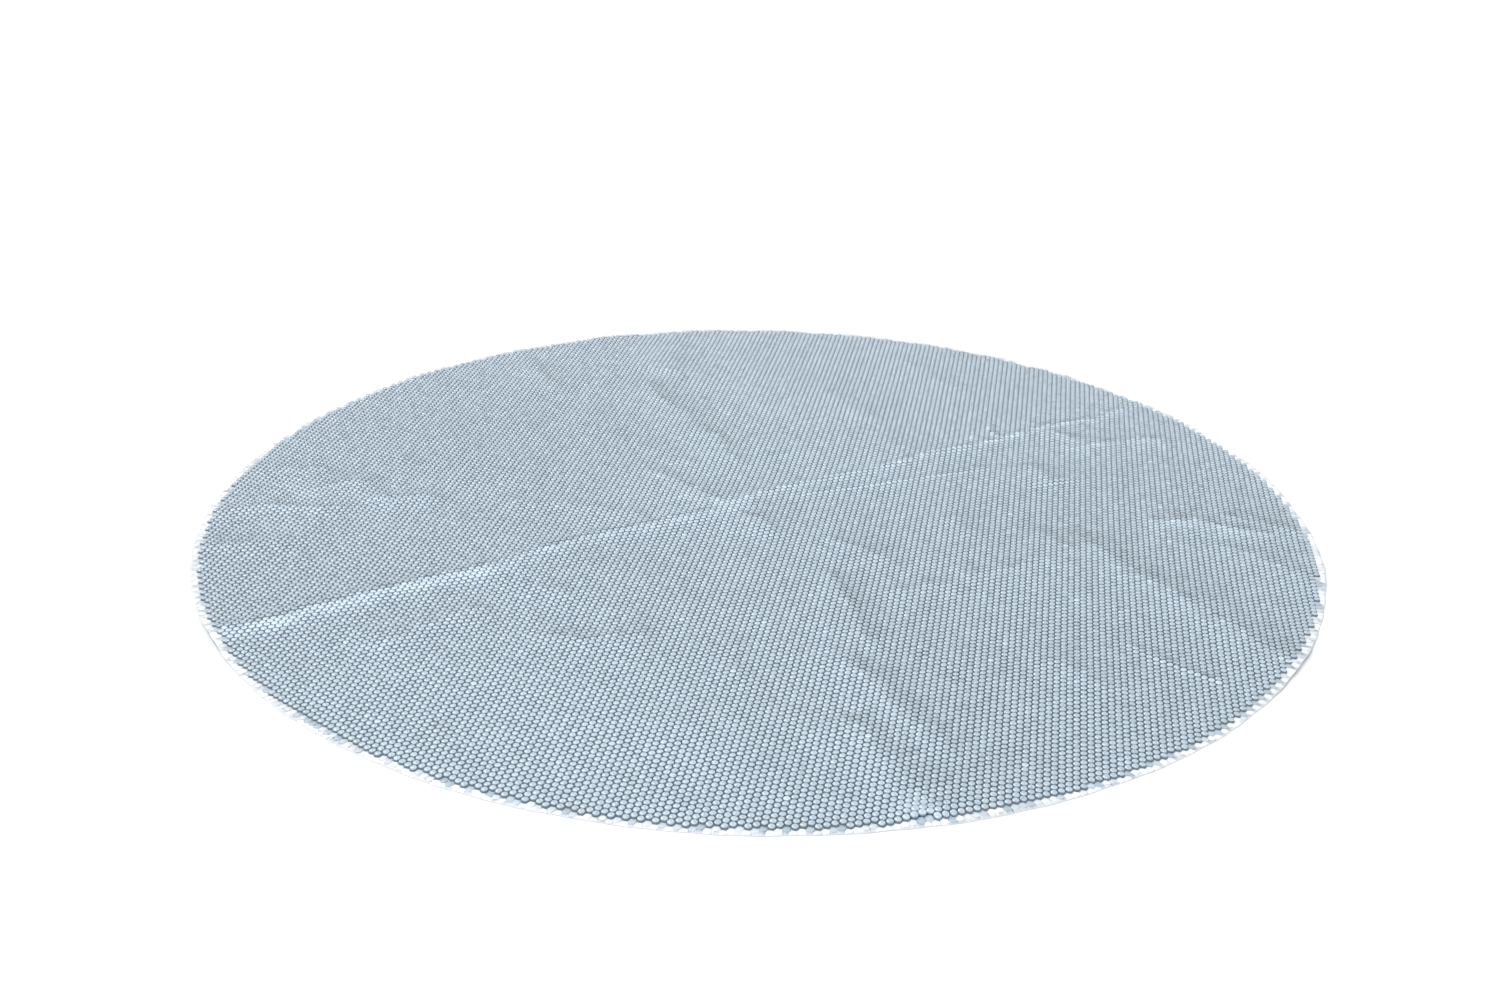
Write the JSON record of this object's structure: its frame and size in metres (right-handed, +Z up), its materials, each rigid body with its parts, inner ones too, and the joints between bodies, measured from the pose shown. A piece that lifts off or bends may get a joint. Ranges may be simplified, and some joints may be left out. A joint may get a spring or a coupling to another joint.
{
  "type": "pool cover",
  "caption": "Round bubble-film cover that floats on a small pool or a hot tub, flat with its bubbles up, and folds along parallel creases for storage.",
  "frame": {"origin": "middle of the cover's underside", "axes": "+X along the main fold, +Y towards the far outer panel, +Z up out of the bubbles"},
  "size_m": [2.1, 2.1, 0.0048],
  "materials": {
    "backing_film": "satin",
    "bubble_film": "semi-gloss",
    "rim_margin": "semi-gloss"
  },
  "bodies": {
    "near_flap": {"backing_film_1": "backing_film", "bubble_film_1": "bubble_film", "rim_margin_1": "rim_margin"},
    "near_half": {"backing_film_2": "backing_film", "bubble_film_2": "bubble_film", "rim_margin_2_left": "rim_margin", "rim_margin_2_right": "rim_margin"},
    "far_half": {"backing_film_3": "backing_film", "bubble_film_3": "bubble_film", "rim_margin_3_left": "rim_margin", "rim_margin_3_right": "rim_margin"},
    "far_flap": {"backing_film_4": "backing_film", "bubble_film_4": "bubble_film", "rim_margin_4": "rim_margin"}
  },
  "joints": [
    {"name": "main_fold", "type": "hinge", "parent": "near_half", "child": "far_half", "pos_m": [0, 0.037, 0.0172], "axis": [1, 0, 0], "range_deg": [0, 179.9]},
    {"name": "near_fold", "type": "hinge", "parent": "near_half", "child": "near_flap", "pos_m": [0, -0.525, 0.008], "axis": [-1, 0, 0], "range_deg": [0, 179.9]},
    {"name": "far_fold", "type": "hinge", "parent": "far_half", "child": "far_flap", "pos_m": [0, 0.562, 0.008], "axis": [1, 0, 0], "range_deg": [0, 179.9]}
  ]
}
